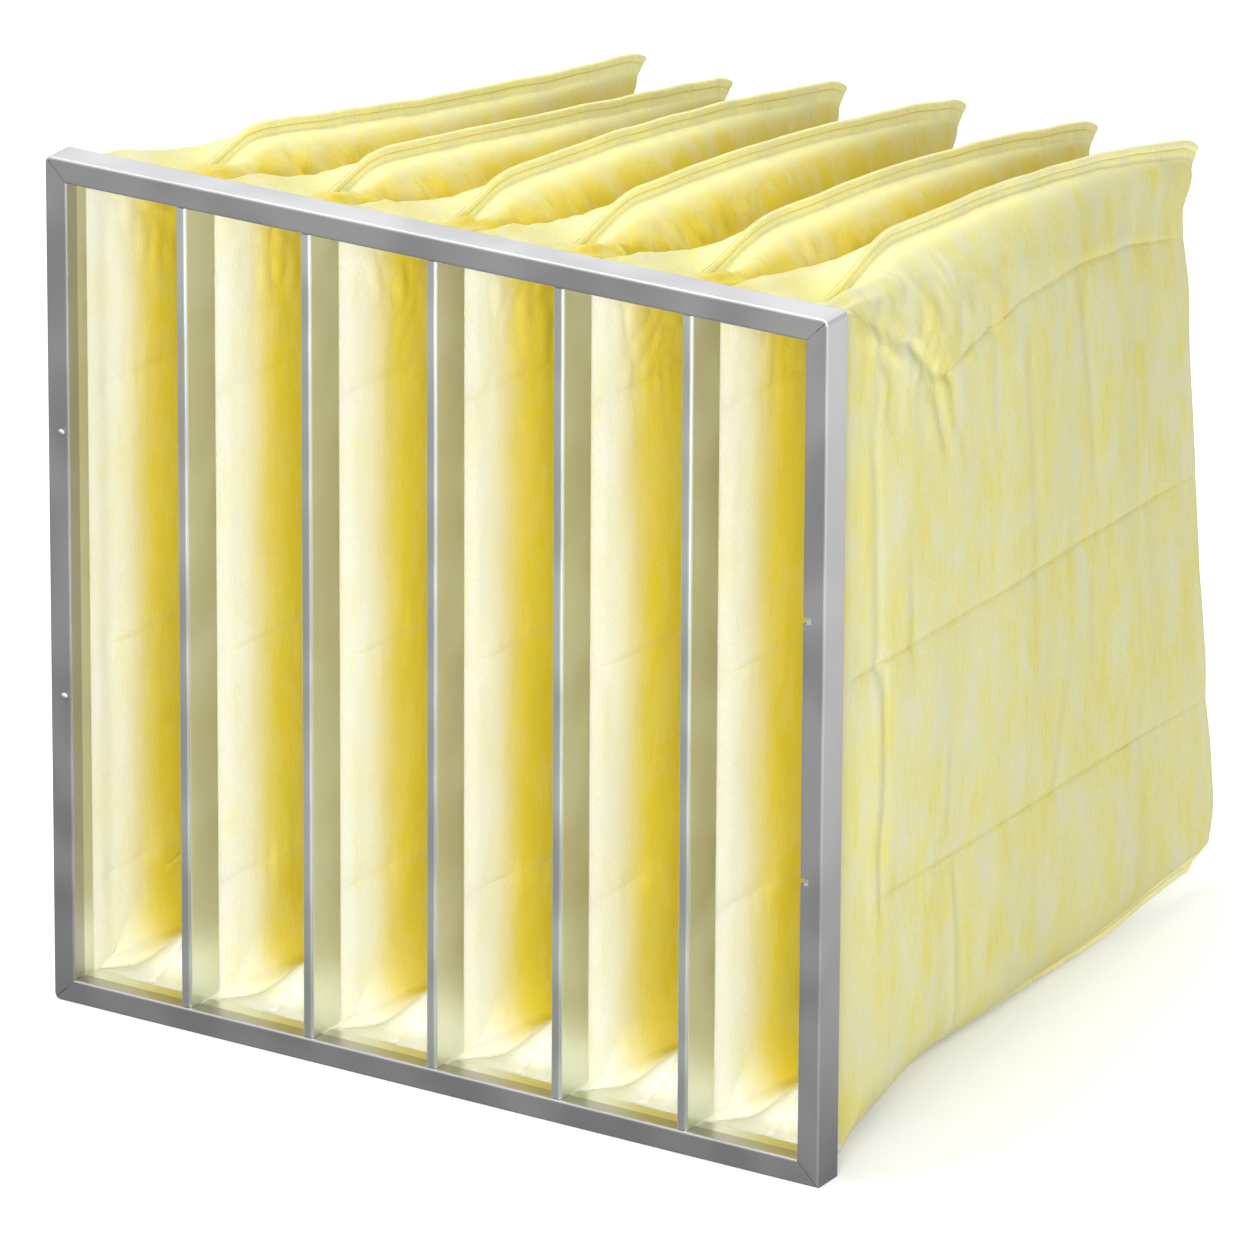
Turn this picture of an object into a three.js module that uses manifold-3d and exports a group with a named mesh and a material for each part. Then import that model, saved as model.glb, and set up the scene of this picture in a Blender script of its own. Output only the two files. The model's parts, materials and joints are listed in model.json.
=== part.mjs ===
// Bag air filter: a square folded-steel header that holds six sewn glass-fibre pockets by their mouths.
// Millimetres, +Z up, air enters along +Y. The origin lies under the middle of the filter, on the ground.
import * as THREE from 'three';
import { LoftGeometry } from 'three/addons/geometries/LoftGeometry.js';
import { mergeVertices } from 'three/addons/utils/BufferGeometryUtils.js';
import Module from 'manifold-3d';

// Overall
const headerSize = 592; // outer width and height of the square header
const overallLength = 600; // header front face to the ends of the pocket seams
const fitGap = 0.3; // clearance between pieces that touch

// Header: one strip folded to a channel and bent round four corners
const sheetGauge = 1;
const bendRadius = 1; // of the middle of the sheet, at every fold
const headerDepth = 25;
const flangeWidth = 16.5; // front flange, from the outer face to the opening
const liningDepth = 12; // inner leg that turns back from the front flange
const rearLipWidth = 8;
const cornerRadius = 4; // the three folded corners
const mitreGap = 0.4; // slit between two flanges that meet at a corner
const cornerTabLength = 19; // tongue that joins the strip's two ends
const cornerTabMargin = 4; // the tongue's clearance to the front and the rear of the channel
const roundFacets = 12; // round a rivet or its hole

// Notches in the right flange's inner edge
const notchDepth = 6.5;
const notchHeight = 4.5;
const notchReach = 7; // how far back the lining is cut too
const notchLevels = [210, 388];

// Clamp ring: an angle strip inside the header, riveted through the left flange
const ringFlangeWidth = 8;
const ringDepth = 24.5; // rear edge, measured from the header's front face
const ringCornerRadius = 1;
const rivetLevels = [218, 403];
const rivetHeadRadius = 2.7;
const rivetHeadHeight = 1.7;
const rivetShankRadius = 1.2;
const rivetTailRadius = 1.9;
const rivetTailTipRadius = 1.5;
const rivetTailHeight = 1.1;

// Separators: U strips between the pockets
const separatorWidth = 8;
const separatorDepth = 35; // rear edge, measured from the header's front face
const separatorNoseRadius = 1.7; // of the middle of the sheet

// Pockets: one sheet of media each, folded at the back and sewn along the top and the bottom
const pocketCount = 6;
const mediaThickness = 4;
const mouthDepth = 6; // where the cut edge of the media starts, behind the flange
const lipHeight = 10; // sewn edge that stands out along both seams
const lipThickness = 3.2;
const foldRadius = 3.6; // outer radius of the fold at the back
const foldWall = 12; // from the inside of the fold to its outside
const taperPower = 1.45; // how long the pocket stays wide before it narrows
const clampRelease = 20; // length over which the clamped media regains its thickness
const shoulderHeight = 60; // height over which a wall closes to its seam
const shoulderEaseLength = 150; // last stretch, over which the shoulders sink to half their height
const archShares = [0, 0.25, 0.5, 0.75, 1]; // of the quarter turn from a seam to a wall

// Gables: each mouth closes to its two seams behind the header, with a puffed cheek on both sides of a seam
const seamDip = 18; // how far the seam sinks between its cheeks
const cheekRise = 25;
const cheekDepth = 82; // where the cheeks are highest
const gableEndDepth = 178; // where the seam has become the pocket's ridge
const lipFullDepth = 100; // where the sewn lip has its full height
const gableDepths = [50, 67, 88, 118, 155]; // cross-sections
const bodyDepth = 210; // first cross-section of the plain body
const tailLength = 40; // from its last cross-section to the back
const bodySections = 5;

// Crests, keels and back edges
const crestFrontDepth = 150; // the upper seam has given heights here, at its middle and at its back end
const crestMiddleDepth = 390;
const crestFrontDrop = [10, 11, 11, 6, 9, -1]; // below the header's top, one value for each pocket
const crestMiddleDrop = [54, 51, 36, 31, 29, 22];
const crestRearDrop = [80, 86, 73, 68, 65, 65];
const keelHeight = 3; // underside of the lower seam above the ground
const keelRearRise = 12;
const keelRiseLength = 180; // last stretch, over which the lower seam rises
const topLean = [32, 5, 0, -2, 5, -14]; // sideways lean of the back fold's upper end
const bottomLean = [0, 0, 0, 0, 0, 8];
const leanDepth = 60; // where the lean starts
const backEdgeLength = 240; // last stretch, over which the shape of the back edge shows
const backEdge = [[0, 34], [0.03, 6], [0.08, 0], [0.25, 7], [0.5, 14], [0.8, 20], [0.92, 27], [0.97, 12], [1, 0]];

// Stitched rows across each pocket, as heights at the mouth, and the threads
const rowLevels = [170, 333, 515];
const rowStagger = 16; // each pocket's rows lie this much lower than those of its right neighbour
const rowSlope = 38; // how far a row falls from the mouth to the back fold
const rowCurve = 1.3; // over 1, a row falls faster toward the back
const rowMargin = 3; // least height between a row and a shoulder
const quiltPinch = 2.2; // depth of the groove at a row
const quiltPinchShare = 0.18; // the most of the pocket's half width that the groove takes
const threadRadius = 0.5;
const threadInset = 0.35; // share of the lip between the pocket and the seam's stitches
const spacerDepth = 190; // where the spacer threads start
const spacerEndMargin = 55; // from their last stitch to the back
const spacerStep = 29;

// Derived sizes
const half = headerSize / 2;
const opening = half - flangeWidth;
const ringInner = opening + sheetGauge + fitGap;
const ringOuter = ringInner + sheetGauge;
const ringFront = sheetGauge + fitGap;
const hemInner = ringOuter + fitGap;
const hemOuter = half - rearLipWidth - fitGap;
const separatorPitch = (2 * hemOuter) / pocketCount;
const layerThickness = (separatorWidth - 2 * sheetGauge - 3 * fitGap) / 2;
const clampEnd = ringDepth + fitGap;
const lipHalf = lipThickness / 2;
const rivetX = -(ringOuter + (ringFlangeWidth - sheetGauge) / 2 - fitGap);
const rivetHeadTop = fitGap + rivetHeadHeight; // above the header's front face
const bodyLength = overallLength - tailLength - bodyDepth;

// Depths of the pocket's cross-sections, on the outside and on the inside
const bodyDepths = Array.from(
  { length: bodySections },
  (_, k) => bodyDepth + (bodyLength * k) / (bodySections - 1),
);
const depths = [
  mouthDepth, clampEnd, separatorDepth, ...gableDepths, ...bodyDepths,
  overallLength - foldRadius, overallLength,
];
const innerEnd = overallLength - foldWall;
const innerDepths = [...depths.filter((depth) => depth < innerEnd - foldWall), innerEnd];

const steel = new THREE.MeshStandardMaterial({ color: 0xa6a8aa, roughness: 0.35, metalness: 1 });
const stripSteel = new THREE.MeshStandardMaterial({ color: 0x8d949c, roughness: 0.3, metalness: 1 });
const rivetSteel = new THREE.MeshStandardMaterial({ color: 0xb9bbbd, roughness: 0.25, metalness: 1 });
const media = new THREE.MeshStandardMaterial({ color: 0xe9e19b, roughness: 0.95, metalness: 0 });
const thread = new THREE.MeshStandardMaterial({ color: 0xf1ecc4, roughness: 0.8, metalness: 0 });

const wasm = await Module();
wasm.setup();

const { lerp, clamp, smoothstep } = THREE.MathUtils;

// Closes a geometry: shared vertices merged, empty triangles dropped, faces turned outward.
function closed(geometry) {
  const bare = new THREE.BufferGeometry().copy(geometry);
  bare.deleteAttribute('normal');
  bare.deleteAttribute('uv');
  const merged = mergeVertices(bare, 1e-4);
  const index = Array.from(merged.index.array);
  const position = merged.getAttribute('position');
  const corner = [new THREE.Vector3(), new THREE.Vector3(), new THREE.Vector3()];
  const kept = [];
  let volume = 0;
  for (let i = 0; i < index.length; i += 3) {
    const [a, b, c] = index.slice(i, i + 3);
    if (a === b || b === c || c === a) continue;
    kept.push(a, b, c);
    corner.forEach((point, k) => point.fromBufferAttribute(position, [a, b, c][k]));
    volume += corner[0].dot(corner[1].cross(corner[2]));
  }
  merged.setIndex(volume < 0 ? kept.reverse() : kept);
  return merged;
}

function toSolid(geometry) {
  const mesh = closed(geometry);
  return new wasm.Manifold(new wasm.Mesh({
    numProp: 3,
    vertProperties: new Float32Array(mesh.getAttribute('position').array),
    triVerts: new Uint32Array(mesh.index.array),
  }));
}

function toGeometry(solid) {
  const mesh = solid.getMesh();
  const geometry = new THREE.BufferGeometry();
  geometry.setAttribute('position', new THREE.BufferAttribute(mesh.vertProperties, 3));
  geometry.setIndex(new THREE.BufferAttribute(mesh.triVerts, 1));
  return geometry;
}

function piece(name, geometry, material) {
  const faceted = closed(geometry).toNonIndexed();
  faceted.computeVertexNormals();
  const mesh = new THREE.Mesh(faceted, material);
  mesh.name = name;
  return mesh;
}

function block(low, high) {
  const size = high.map((value, k) => value - low[k]);
  const middle = high.map((value, k) => (value + low[k]) / 2);
  return new THREE.BoxGeometry(...size).translate(...middle);
}

// Outline of a strip of sheet folded along the given points of its middle, with round bends.
function foldedStrip(points, radius, facets = 3) {
  const corners = points.map(([x, y]) => new THREE.Vector2(x, y));
  const last = corners.length - 1;
  const spine = [];
  corners.forEach((corner, i) => {
    const start = Math.max(i - 1, 0);
    const end = Math.min(i, last - 1);
    const into = corners[start + 1].clone().sub(corners[start]).normalize();
    const out = corners[end + 1].clone().sub(corners[end]).normalize();
    const normal = new THREE.Vector2(-into.y, into.x);
    if (i === 0 || i === last) {
      spine.push({ point: corner, normal });
      return;
    }
    const turn = Math.atan2(into.cross(out), into.dot(out));
    const side = Math.sign(turn) * radius;
    const setback = radius * Math.tan(Math.abs(turn) / 2);
    const centre = corner.clone().addScaledVector(into, -setback).addScaledVector(normal, side);
    for (let k = 0; k <= facets; k++) {
      const turned = normal.clone().rotateAround(new THREE.Vector2(), (turn * k) / facets);
      spine.push({ point: centre.clone().addScaledVector(turned, -side), normal: turned });
    }
  });
  const offset = (shift) => spine.map(({ point, normal }) => point.clone().addScaledVector(normal, shift));
  return [...offset(sheetGauge / 2), ...offset(-sheetGauge / 2).reverse()];
}

// A square frame swept from a profile of (distance inward from the outer face, depth) points.
// Each corner is a mitre, rounded where the profile lies within the corner's radius.
function squareFrame(profile, halfSize, radii) {
  const corners = [[1, 1], [-1, 1], [-1, -1], [1, -1]];
  const sections = corners.flatMap(([sideX, sideZ], quarter) => {
    const radius = radii[quarter];
    const steps = radius > 0 ? [0, 0.5, 1] : [0.5];
    return steps.map((step) => {
      const angle = ((quarter + step) * Math.PI) / 2;
      return profile.map(({ x: inset, y: depth }) => {
        const arc = Math.max(radius - inset, 0);
        const centre = halfSize - Math.max(radius, inset);
        const x = sideX * centre + arc * Math.cos(angle);
        const z = sideZ * centre + arc * Math.sin(angle);
        return new THREE.Vector3(x, depth, half + z);
      });
    });
  });
  return new LoftGeometry([...sections, sections[0]]);
}

// Header

function mitreSlit(sideX, sideZ, firstInset) {
  const reach = flangeWidth + 2 * sheetGauge - firstInset;
  const diagonal = reach * Math.SQRT2;
  const slit = new THREE.BoxGeometry(diagonal, headerDepth + 2 * sheetGauge, mitreGap);
  slit.rotateY(-sideX * sideZ * (Math.PI / 4));
  const middle = half - firstInset - reach / 2;
  return slit.translate(sideX * middle, headerDepth / 2, half + sideZ * middle);
}

function buildHeader() {
  const middle = sheetGauge / 2;
  const profile = foldedStrip([
    [rearLipWidth, headerDepth - middle],
    [middle, headerDepth - middle],
    [middle, middle],
    [flangeWidth - middle, middle],
    [flangeWidth - middle, liningDepth],
  ], bendRadius);
  let solid = toSolid(squareFrame(profile, half, [cornerRadius, cornerRadius, cornerRadius, 0]));

  const behindWeb = sheetGauge + bendRadius;
  for (const [sideX, sideZ] of [[1, 1], [-1, 1], [-1, -1]]) {
    solid = solid.subtract(toSolid(mitreSlit(sideX, sideZ, behindWeb)));
  }
  solid = solid.subtract(toSolid(mitreSlit(1, -1, -sheetGauge)));

  const tabLow = sheetGauge + fitGap;
  const tab = block(
    [half - cornerTabLength, cornerTabMargin, tabLow],
    [half - sheetGauge / 2, headerDepth - cornerTabMargin, tabLow + sheetGauge],
  );
  solid = solid.add(toSolid(tab));

  for (const level of notchLevels) {
    const notch = block(
      [opening - sheetGauge, -sheetGauge, level - notchHeight / 2],
      [opening + notchDepth, notchReach, level + notchHeight / 2],
    );
    solid = solid.subtract(toSolid(notch));
  }
  return piece('header_frame', toGeometry(solid.subtract(rivetHoles())), steel);
}

// Clamp ring and rivets

function rivetHoles() {
  const radius = rivetShankRadius + fitGap;
  const bore = new THREE.CylinderGeometry(radius, radius, mouthDepth, roundFacets);
  const holes = rivetLevels.map((level) => toSolid(bore.clone().translate(rivetX, 0, level)));
  return holes.reduce((all, hole) => all.add(hole));
}

function buildClampRing() {
  const middle = sheetGauge / 2;
  const legInset = ringFlangeWidth - middle;
  const profile = foldedStrip([
    [0, ringFront + middle],
    [legInset, ringFront + middle],
    [legInset, ringDepth],
  ], bendRadius);
  const radius = ringFlangeWidth - sheetGauge + ringCornerRadius;
  const frame = squareFrame(profile, ringInner + ringFlangeWidth, [radius, radius, radius, radius]);
  return piece('clamp_ring', toGeometry(toSolid(frame).subtract(rivetHoles())), stripSteel);
}

function buildRivet(name, level) {
  const tailFront = ringFront + sheetGauge + fitGap;
  const dome = [0, 0.25, 0.5, 0.75, 1].map((share) => {
    const angle = (share * Math.PI) / 2;
    return new THREE.Vector2(rivetHeadRadius * Math.sin(angle), fitGap + rivetHeadHeight * Math.cos(angle));
  });
  const profile = [
    ...dome,
    new THREE.Vector2(rivetShankRadius, fitGap),
    new THREE.Vector2(rivetShankRadius, -tailFront),
    new THREE.Vector2(rivetTailRadius, -tailFront),
    new THREE.Vector2(rivetTailTipRadius, -tailFront - rivetTailHeight),
    new THREE.Vector2(0, -tailFront - rivetTailHeight),
  ];
  const mesh = piece(name, new THREE.LatheGeometry(profile, roundFacets).rotateX(Math.PI), rivetSteel);
  mesh.position.set(rivetX, 0, level);
  return mesh;
}

// Separators

function separatorX(index) {
  return (index - (pocketCount - 2) / 2) * separatorPitch;
}

function buildSeparator(index) {
  const middle = sheetGauge / 2;
  const leg = separatorWidth / 2 - middle;
  const outline = foldedStrip([
    [-leg, separatorDepth],
    [-leg, ringFront + middle],
    [leg, ringFront + middle],
    [leg, separatorDepth],
  ], separatorNoseRadius, 4);
  const length = 2 * (opening - fitGap);
  const strip = new THREE.ExtrudeGeometry(new THREE.Shape(outline), { depth: length, bevelEnabled: false });
  strip.translate(0, 0, half - length / 2);
  const mesh = piece(`separator_${index + 1}`, strip, stripSteel);
  mesh.position.x = separatorX(index);
  return mesh;
}

// Pockets

// 0 before the first depth, 1 after the second, and smooth between them.
function ramp(depth, from, to) {
  return smoothstep(depth, from, to);
}

// Rises from 0 at the first depth to 1 at the peak and falls to 0 at the last depth.
function hump(depth, from, peak, to) {
  return Math.min(ramp(depth, from, peak), 1 - ramp(depth, peak, to));
}

function alongTable(table, share) {
  const next = Math.max(table.findIndex(([at]) => at >= share), 1);
  const [[shareA, valueA], [shareB, valueB]] = [table[next - 1], table[next]];
  return lerp(valueA, valueB, (share - shareA) / (shareB - shareA));
}

// Height of a crest that passes through its three given heights.
function crestHeight(pocket, depth) {
  const [a, b, c] = [crestFrontDepth, crestMiddleDepth, overallLength];
  const at = Math.max(depth, a);
  const drop = (crestFrontDrop[pocket] * (at - b) * (at - c)) / ((a - b) * (a - c))
    + (crestMiddleDrop[pocket] * (at - a) * (at - c)) / ((b - a) * (b - c))
    + (crestRearDrop[pocket] * (at - a) * (at - b)) / ((c - a) * (c - b));
  return lerp(half + hemOuter, headerSize - drop, ramp(depth, separatorDepth, crestFrontDepth));
}

function keelLevel(depth) {
  const resting = lerp(half - hemOuter, keelHeight, ramp(depth, separatorDepth, crestFrontDepth));
  return resting + keelRearRise * ramp(depth, overallLength - keelRiseLength, overallLength);
}

// Half of the pocket's outer width at its middle height.
function halfWidth(mouthHalf, depth) {
  const share = clamp((depth - separatorDepth) / (overallLength - separatorDepth), 0, 1);
  const taper = mouthHalf * (1 - share ** taperPower);
  const intoFold = clamp((depth - (overallLength - foldRadius)) / foldRadius, 0, 1);
  return Math.max(taper, foldRadius) * Math.sqrt(1 - intoFold ** 2);
}

// The two sides of a pocket's mouth: outer faces, and the thickness of media that is clamped there.
function mouthOf(pocket) {
  const first = pocket === 0;
  const last = pocket === pocketCount - 1;
  const left = first ? -hemOuter : separatorX(pocket - 1) + fitGap / 2;
  const right = last ? hemOuter : separatorX(pocket) - fitGap / 2;
  const hem = hemOuter - hemInner;
  return {
    centre: (left + right) / 2,
    half: (right - left) / 2,
    clampedLeft: first ? hem : layerThickness,
    clampedRight: last ? hem : layerThickness,
    clampedEnds: hem,
  };
}

// One half of a cross-section, from the lower seam's edge up to the upper seam's edge, as x and z pairs.
// The outer skin has no inset, and the inner skin lies one wall further in.
function halfSection(pocket, depth, wall, ends, inner) {
  const mouth = mouthOf(pocket);
  const closing = inner && depth > innerDepths.at(-2);
  const x = closing ? 0 : Math.max(halfWidth(mouth.half, depth) - wall, 0);
  const edge = inner ? 0 : Math.min(lipHalf, x);
  const outerLip = lipHeight * ramp(depth, separatorDepth, lipFullDepth);
  const lip = inner ? 0 : outerLip;
  const gable = hump(depth, separatorDepth, cheekDepth, gableEndDepth);
  const dip = seamDip * gable;
  const rise = cheekRise * gable;
  const eased = 1 - ramp(depth, overallLength - shoulderEaseLength, overallLength) / 2;
  const shoulder = shoulderHeight * ramp(depth, separatorDepth, gableEndDepth) * eased;
  const pinch = Math.min(quiltPinch, quiltPinchShare * x) * ramp(depth, separatorDepth, lipFullDepth);
  const top = crestHeight(pocket, depth) - outerLip - dip - ends;
  const bottom = keelLevel(depth) + outerLip + dip + ends;
  const arch = archShares.map((share) => {
    const angle = (share * Math.PI) / 2;
    return {
      out: lerp(edge, x, Math.sin(angle)),
      away: shoulder * (1 - Math.cos(angle)) - rise * Math.sin(2 * angle),
    };
  });
  const rows = rowLevels.map((level) => (
    clamp(rowHeight(pocket, level, depth), bottom + shoulder + rowMargin, top - shoulder - rowMargin)
  ));
  const quilt = rows.flatMap((level, k) => {
    const row = [x - pinch, level];
    return k === 0 ? [row] : [[x, (level + rows[k - 1]) / 2], row];
  });
  return [
    [edge, bottom - lip],
    ...arch.map(({ out, away }) => [out, bottom + away]),
    ...quilt,
    ...arch.reverse().map(({ out, away }) => [out, top - away]),
    [edge, top + lip],
  ];
}

function rowHeight(pocket, level, depth) {
  const staggered = level - rowStagger * (pocketCount - 1 - pocket);
  return staggered - rowSlope * (depth / overallLength) ** rowCurve;
}

// Carries a section's point to its place: the pocket leans sideways and its back edge isn't straight.
function placed(pocket, side, x, z, depth) {
  const low = keelLevel(depth);
  const share = clamp((z - low) / (crestHeight(pocket, depth) - low), 0, 1);
  const lean = lerp(bottomLean[pocket], topLean[pocket], share);
  const back = ramp(depth, leanDepth, overallLength) * (depth / overallLength);
  const recess = alongTable(backEdge, share) * ramp(depth, overallLength - backEdgeLength, overallLength);
  return new THREE.Vector3(mouthOf(pocket).centre + side * x + lean * back, depth - recess, z);
}

// A closed ring of points round the pocket at one depth.
function ring(pocket, depth, inner) {
  const mouth = mouthOf(pocket);
  const free = ramp(depth, separatorDepth, separatorDepth + clampRelease);
  const wall = (clamped) => (inner ? lerp(clamped, mediaThickness, free) : 0);
  const ends = wall(mouth.clampedEnds);
  const right = halfSection(pocket, depth, wall(mouth.clampedRight), ends, inner);
  const left = halfSection(pocket, depth, wall(mouth.clampedLeft), ends, inner);
  return [
    ...right.map(([x, z]) => placed(pocket, 1, x, z, depth)),
    ...left.reverse().map(([x, z]) => placed(pocket, -1, x, z, depth)),
  ];
}

// The slot through a pocket's side walls where the clamp ring's leg and the header's lining cross them.
function ringSlot() {
  const behindRing = sheetGauge + fitGap;
  const behindLining = hemInner - opening;
  const liningEnd = liningDepth + fitGap;
  const slot = [
    [-fitGap, 0], [-fitGap, clampEnd], [behindRing, clampEnd],
    [behindRing, liningEnd], [behindLining, liningEnd], [behindLining, 0],
  ];
  const profile = slot.map(([inset, depth]) => new THREE.Vector2(inset, depth));
  const radius = ringCornerRadius;
  return toSolid(squareFrame(profile, ringOuter, [radius, radius, radius, radius]));
}

function buildPocket(pocket) {
  const outside = depths.map((depth) => ring(pocket, depth, false)).reverse();
  const inside = innerDepths.map((depth) => ring(pocket, depth, true));
  const shell = toSolid(new LoftGeometry([...outside, ...inside]));
  return piece(`pocket_${pocket + 1}`, toGeometry(shell.subtract(ringSlot())), media);
}

// Threads

// A square thread through the given points, each with the half width that its section has there.
function threadAlong(points, halfHeight) {
  const sections = points.map(({ at, halfX }) => [
    new THREE.Vector3(at.x - halfX, at.y, at.z - halfHeight),
    new THREE.Vector3(at.x - halfX, at.y, at.z + halfHeight),
    new THREE.Vector3(at.x + halfX, at.y, at.z + halfHeight),
    new THREE.Vector3(at.x + halfX, at.y, at.z - halfHeight),
  ]);
  return new LoftGeometry(sections, { capStart: true, capEnd: true });
}

// The stitches of one seam, laid along the right side of its lip.
function buildSeamThread(pocket, upper) {
  const stations = depths.filter((depth) => depth > cheekDepth && depth < overallLength - foldRadius);
  const points = stations.map((depth) => {
    const section = halfSection(pocket, depth, 0, 0, false);
    const [tip, root] = upper ? [section.at(-1), section.at(-2)] : [section[0], section[1]];
    const level = lerp(root[1], tip[1], threadInset);
    const at = placed(pocket, 1, lipHalf + fitGap + threadRadius, level, depth);
    return { at, halfX: threadRadius };
  });
  const name = `seam_thread_${upper ? 'top' : 'bottom'}_${pocket + 1}`;
  return piece(name, threadAlong(points, threadRadius), thread);
}

// A point of the pocket's inner skin, between two of its cross-sections.
function innerPoint(pocket, corner, depth) {
  const next = innerDepths.findIndex((at) => at >= depth);
  const [before, after] = [innerDepths[next - 1], innerDepths[next]];
  const share = (depth - before) / (after - before);
  return ring(pocket, before, true)[corner].lerp(ring(pocket, after, true)[corner], share);
}

// The spacer thread of one stitched row, which holds the two walls at their distance.
function buildSpacerThread(pocket, row) {
  const cornersPerSide = ring(pocket, spacerDepth, true).length / 2;
  const rightCorner = 1 + archShares.length + 2 * row;
  const leftCorner = 2 * cornersPerSide - 1 - rightCorner;
  const points = [];
  for (let depth = spacerDepth; depth < overallLength - spacerEndMargin; depth += spacerStep) {
    const toRight = points.length % 2 === 0;
    const at = innerPoint(pocket, toRight ? rightCorner : leftCorner, depth);
    const across = Math.abs(innerPoint(pocket, rightCorner, depth).x - at.x)
      + Math.abs(innerPoint(pocket, leftCorner, depth).x - at.x);
    const halfX = threadRadius * Math.hypot(1, across / spacerStep);
    at.x += (toRight ? -1 : 1) * (halfX + fitGap);
    points.push({ at, halfX });
  }
  return piece(`spacer_thread_${pocket + 1}_${row + 1}`, threadAlong(points, threadRadius), thread);
}

// Assembly

const filter = new THREE.Group();
filter.name = 'bag_air_filter';
filter.position.y = (rivetHeadTop - overallLength) / 2;
filter.add(buildHeader(), buildClampRing());
rivetLevels.forEach((level, index) => filter.add(buildRivet(`rivet_${index + 1}`, level)));
for (let index = 0; index < pocketCount - 1; index++) filter.add(buildSeparator(index));
for (let pocket = 0; pocket < pocketCount; pocket++) {
  filter.add(buildPocket(pocket), buildSeamThread(pocket, true), buildSeamThread(pocket, false));
  rowLevels.forEach((level, row) => filter.add(buildSpacerThread(pocket, row)));
}

export default filter;
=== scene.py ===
# %% [markdown]
# # Bag air filter
# A square steel header holds six sewn glass-fibre pockets by their mouths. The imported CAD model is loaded
# as the fixed frame: its steel pieces stay and get better materials, and its plain pockets and seam
# threads are replaced by finely modelled sheets of media and rows of stitches.

# %% Imports
import json
import math

import bmesh
import bpy
from mathutils import Matrix, Vector, noise


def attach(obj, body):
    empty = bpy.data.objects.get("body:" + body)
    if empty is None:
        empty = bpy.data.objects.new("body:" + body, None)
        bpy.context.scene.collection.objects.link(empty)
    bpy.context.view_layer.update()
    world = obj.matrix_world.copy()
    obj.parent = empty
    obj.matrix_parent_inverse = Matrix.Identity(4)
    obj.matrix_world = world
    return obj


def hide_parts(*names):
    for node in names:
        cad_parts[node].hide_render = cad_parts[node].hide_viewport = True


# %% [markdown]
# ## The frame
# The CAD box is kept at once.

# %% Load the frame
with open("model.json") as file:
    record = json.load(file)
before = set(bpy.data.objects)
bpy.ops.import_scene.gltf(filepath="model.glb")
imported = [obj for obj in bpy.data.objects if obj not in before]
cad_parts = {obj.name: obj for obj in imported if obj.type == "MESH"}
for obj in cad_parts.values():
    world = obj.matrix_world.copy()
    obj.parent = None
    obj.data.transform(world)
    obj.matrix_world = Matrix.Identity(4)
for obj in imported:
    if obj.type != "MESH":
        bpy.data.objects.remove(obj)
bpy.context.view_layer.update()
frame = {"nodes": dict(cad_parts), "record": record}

# %% [markdown]
# ## The camera
# A long lens from far away, to the right of the filter and above it. The three directions were fitted to
# the corners of the header in the photograph, so they carry its slight roll too.

# %% Camera
HEADER_FRONT_Y = -0.299
camera_data = bpy.data.cameras.new("camera")
camera_data.sensor_width = 36.0
camera_data.lens = 372.19
camera_data.clip_start = 1.0
camera_data.clip_end = 60.0
camera = bpy.data.objects.new("camera", camera_data)
bpy.context.scene.collection.objects.link(camera)
right = Vector((0.85065, 0.52570, 0.00524)).normalized()
forward = Vector((-0.48911, 0.79503, -0.35876)).normalized()
up = right.cross(forward).normalized()
turn = Matrix((right, up, -forward)).transposed().to_4x4()
camera.matrix_world = Matrix.Translation((4.1963, HEADER_FRONT_Y - 6.5781, 3.3249)) @ turn
bpy.context.scene.camera = camera
print("camera at", [round(value, 3) for value in camera.location])

# %% [markdown]
# ## Small helpers
# The pockets are drawn in millimetres, as on a maker's drawing, and MM turns them into metres. The eased
# ramps and humps join one stretch of a pocket to the next without a kink.

# %% Helpers
MM = 0.001


def clamp(value, low=0.0, high=1.0):
    return max(low, min(high, value))


def lerp(a, b, share):
    return a + (b - a) * share


def straight(value, start, end):
    return clamp((value - start) / (end - start))


def ramp(value, start, end):
    share = straight(value, start, end)
    return share * share * (3 - 2 * share)


def hump(value, start, peak, end):
    return min(ramp(value, start, peak), 1 - ramp(value, peak, end))


def along_table(table, value, ease):
    for (a, value_a), (b, value_b) in zip(table, table[1:]):
        if value <= b:
            return lerp(value_a, value_b, ease(value, a, b))
    return table[-1][1]


# %% [markdown]
# ## Shaders
# Each effect that several materials use is a node group. The groups return only colours, masks and
# values, and the Principled shader stays in each material.

# %% Node helpers
def new_group(name, inputs, outputs):
    group = bpy.data.node_groups.new(name, "ShaderNodeTree")
    for socket, kind, value in inputs:
        item = group.interface.new_socket(socket, in_out="INPUT", socket_type=kind)
        item.default_value = value
    for socket, kind in outputs:
        group.interface.new_socket(socket, in_out="OUTPUT", socket_type=kind)
    return group, group.nodes.new("NodeGroupInput"), group.nodes.new("NodeGroupOutput")


def node(tree, kind, **settings):
    made = tree.nodes.new(kind)
    for key, value in settings.items():
        setattr(made, key, value)
    return made


def feed(tree, target, source):
    if isinstance(source, bpy.types.NodeSocket):
        tree.links.new(source, target)
    else:
        target.default_value = source


def mapped(tree, scale):
    place = node(tree, "ShaderNodeTexCoord")
    mapping = node(tree, "ShaderNodeMapping")
    mapping.inputs["Scale"].default_value = scale
    tree.links.new(place.outputs["Object"], mapping.inputs["Vector"])
    return mapping.outputs["Vector"]


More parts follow.
